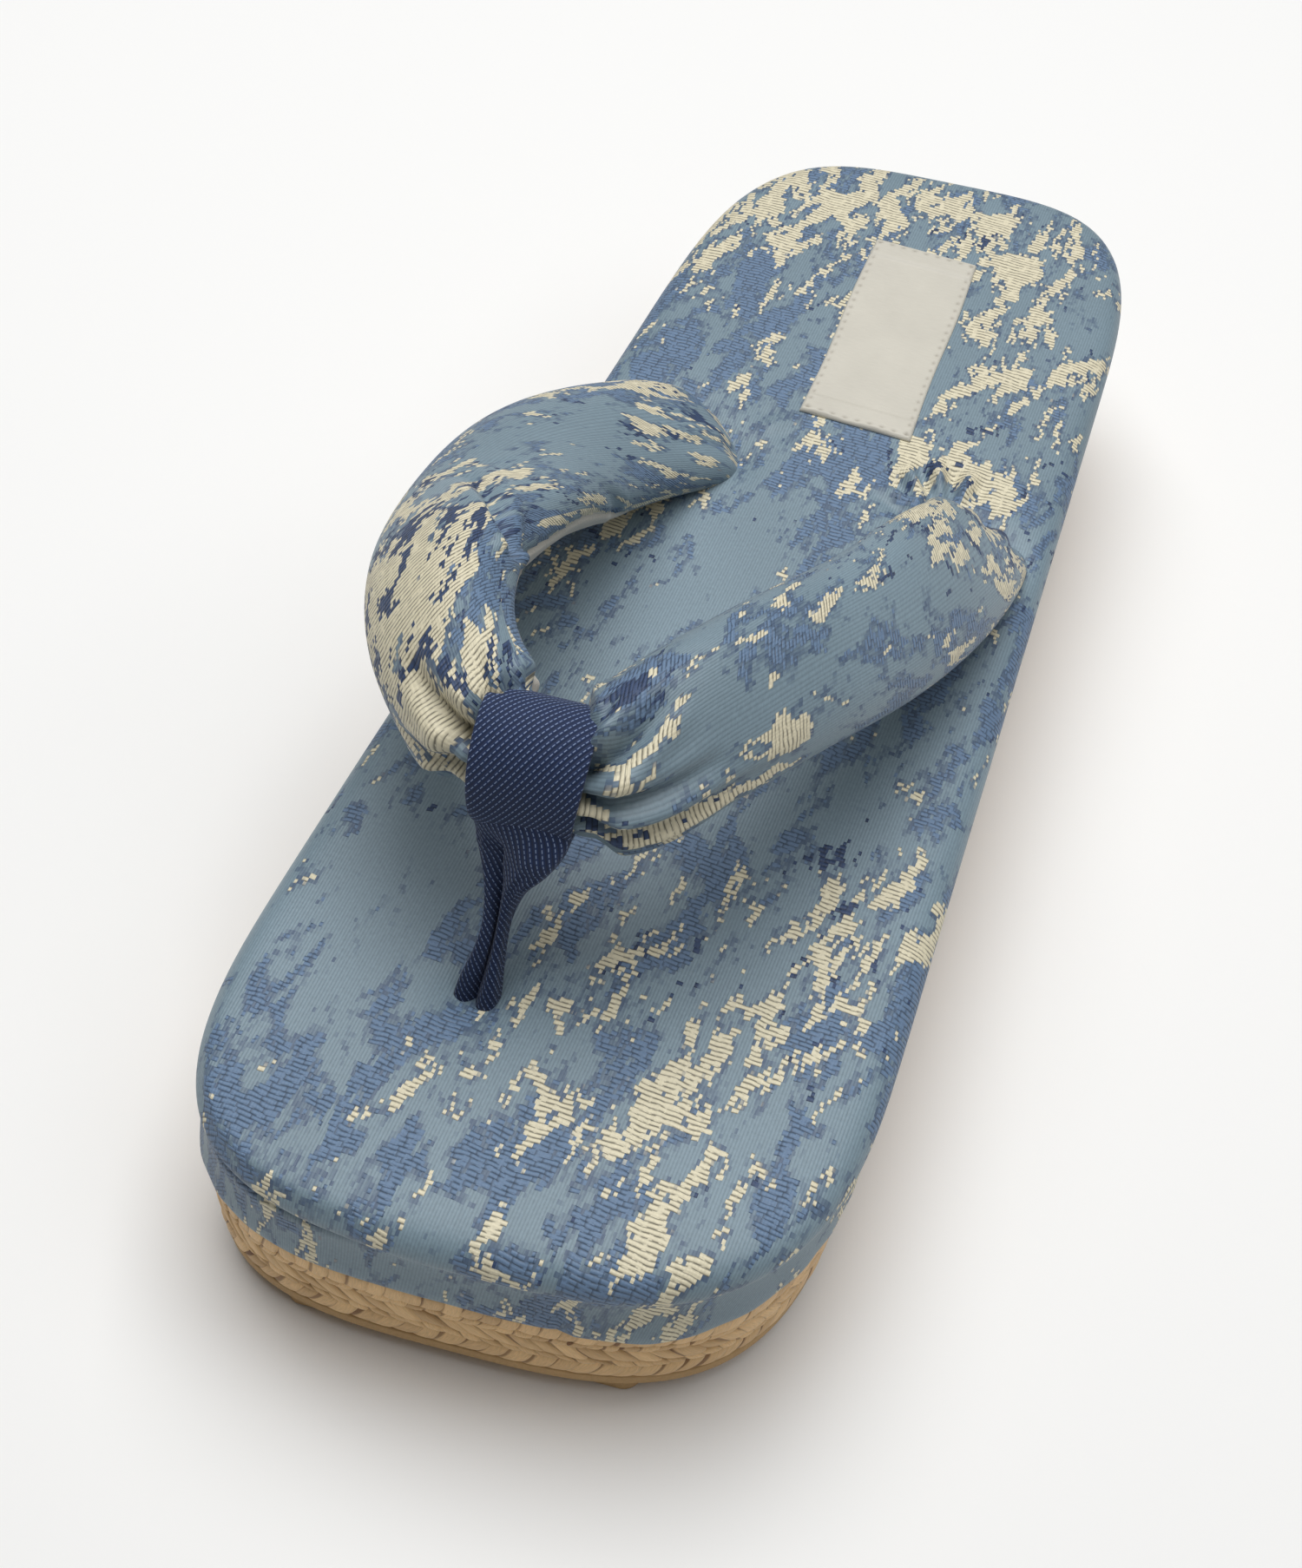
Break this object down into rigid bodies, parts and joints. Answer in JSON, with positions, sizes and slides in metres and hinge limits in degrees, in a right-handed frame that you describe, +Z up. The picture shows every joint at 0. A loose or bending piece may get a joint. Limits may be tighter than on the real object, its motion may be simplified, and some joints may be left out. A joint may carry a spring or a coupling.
{
  "type": "geta sandal",
  "caption": "Left thong sandal: padded brocade deck on a plaited straw base, with a padded V strap held by a twill toe loop.",
  "frame": {"origin": "on the floor, under the middle of the sandal's box", "axes": "+Z up, toe towards -Y and heel towards +Y, the wearer's outer side towards +X"},
  "size_m": [0.1004, 0.2568, 0.0873],
  "materials": {
    "brocade": "satin jacquard with raised floats",
    "plaited_straw": "plaited straw, satin",
    "sole_rubber": "matte",
    "navy_twill": "twill, matte",
    "label_satin": "woven satin"
  },
  "bodies": {
    "root": {"deck": "brocade", "strap": "brocade", "straw_base": "plaited_straw", "outsole": "sole_rubber", "forefoot_tread": "sole_rubber", "heel_tread": "sole_rubber", "toe_loop": "navy_twill", "heel_label": "label_satin"}
  },
  "joints": []
}
